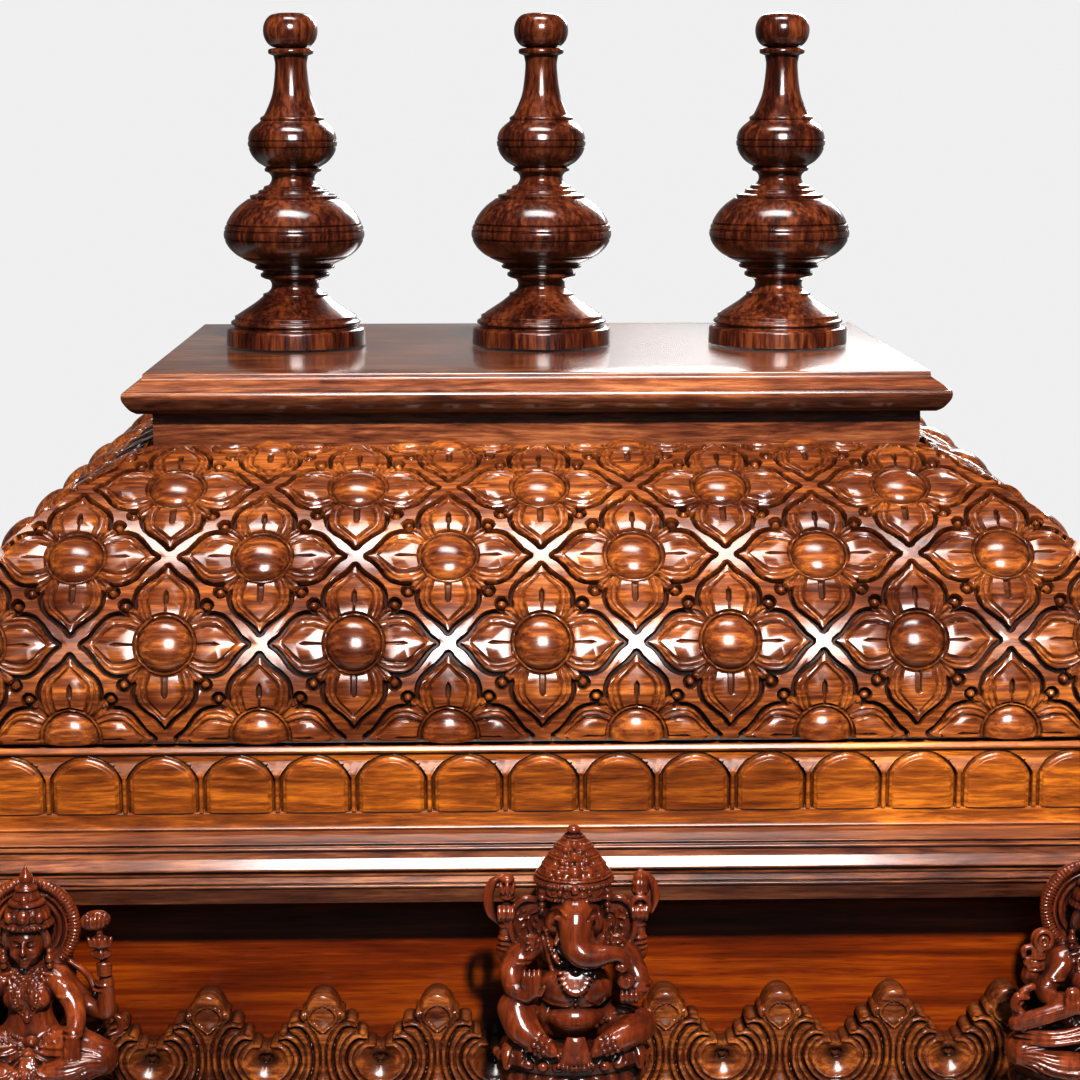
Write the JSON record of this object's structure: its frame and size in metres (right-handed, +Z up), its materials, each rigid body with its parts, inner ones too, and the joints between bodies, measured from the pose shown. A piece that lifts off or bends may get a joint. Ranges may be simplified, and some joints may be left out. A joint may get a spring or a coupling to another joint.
{
  "type": "home temple",
  "caption": "Carved teak home temple: turned finials, curved roof carved with flowers, arched band, crest frieze with seated figures, and an open shrine on turned posts",
  "frame": {"origin": "on the ground under the middle of the temple", "axes": "+Z up, +X to the viewer's right, -Y out of the open front"},
  "size_m": [0.9222, 0.7712, 1.3102],
  "materials": {
    "carved_teak": "gloss varnish over dark red-brown stain, darker in the carving",
    "turned_teak": "gloss varnish over dark red-brown stain, turned",
    "polished_board": "gloss varnish over red-brown stain, grain along each board",
    "tablet_teak": "gloss varnish over warm orange-brown teak with strong grain",
    "frieze_teak": "satin varnish over orange-brown teak, grain lengthways",
    "statue_teak": "gloss varnish over dark red-brown stain, carved"
  },
  "bodies": {
    "root": {"arch_band_back": "tablet_teak", "arch_band_front": "tablet_teak", "arch_band_left": "tablet_teak", "arch_band_right": "tablet_teak", "back_panel": "frieze_teak", "base_back": "polished_board", "base_front": "polished_board", "base_left": "polished_board", "base_right": "polished_board", "ceiling_board": "polished_board", "cornice_back": "polished_board", "cornice_front": "polished_board", "cornice_left": "polished_board", "cornice_right": "polished_board", "crest_front": "carved_teak", "crest_left": "carved_teak", "crest_right": "carved_teak", "finial_centre": "turned_teak", "finial_left": "turned_teak", "finial_right": "turned_teak", "floor_board": "polished_board", "frieze_back": "frieze_teak", "frieze_front": "frieze_teak", "frieze_left": "frieze_teak", "frieze_right": "frieze_teak", "ganesha": "statue_teak", "lakshmi": "statue_teak", "lintel_back": "polished_board", "lintel_front": "polished_board", "lintel_left": "polished_board", "lintel_right": "polished_board", "neck_back": "polished_board", "neck_front": "polished_board", "neck_left": "polished_board", "neck_right": "polished_board", "plinth_back": "polished_board", "plinth_front": "polished_board", "plinth_left": "polished_board", "plinth_right": "polished_board", "post_back_left": "turned_teak", "post_back_right": "turned_teak", "post_front_left": "turned_teak", "post_front_right": "turned_teak", "roof_back": "carved_teak", "roof_front": "carved_teak", "roof_left": "carved_teak", "roof_right": "carved_teak", "saraswati": "statue_teak", "shelf_back": "polished_board", "shelf_front": "polished_board", "shelf_left": "polished_board", "shelf_right": "polished_board", "top_slab": "polished_board"}
  },
  "joints": []
}
